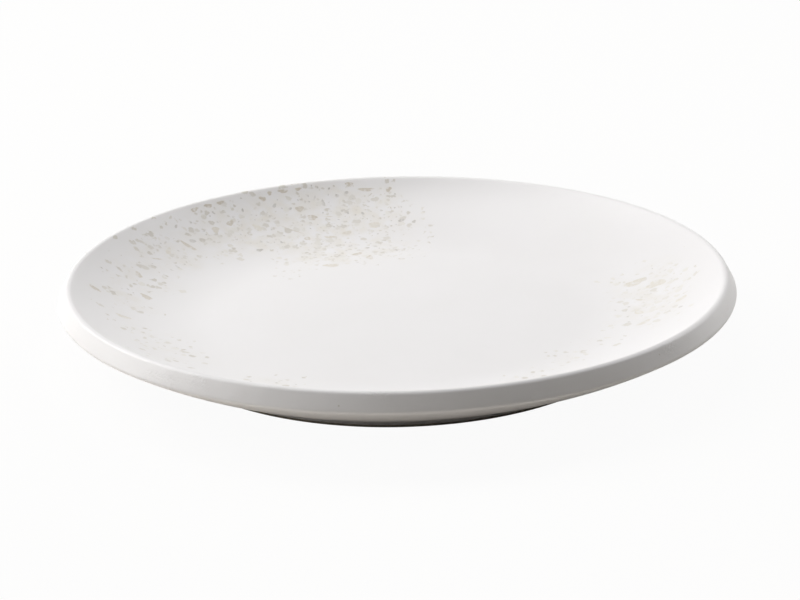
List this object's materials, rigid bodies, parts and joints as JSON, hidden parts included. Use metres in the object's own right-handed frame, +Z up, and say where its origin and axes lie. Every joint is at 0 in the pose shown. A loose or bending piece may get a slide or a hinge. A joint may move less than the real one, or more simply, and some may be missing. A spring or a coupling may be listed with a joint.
{
  "type": "coupe dinner plate",
  "caption": "Round coupe dinner plate with a curved well, a rounded lip over a canted rim band, a bowl-shaped underside and a low bare foot ring.",
  "frame": {"origin": "on the plate's axis, on the plane that the foot ring stands on", "axes": "+Z up along the plate's axis, towards the eater's side; +X to the right and +Y to the back as pictured"},
  "size_m": [0.27, 0.27, 0.0292],
  "materials": {
    "clay": "bare fired stoneware, matt and slightly rough",
    "white_glaze": "satin white glaze",
    "gold_fleck": "warm gold-buff fleck in the glaze",
    "sand_fleck": "pale sand fleck in the glaze",
    "grey_fleck": "warm grey fleck in the glaze"
  },
  "bodies": {
    "root": {"clay_body": "clay", "white_glaze": "white_glaze", "recess_glaze": "white_glaze", "gold_flecks": "gold_fleck", "sand_flecks": "sand_fleck", "grey_flecks": "grey_fleck"}
  },
  "joints": []
}
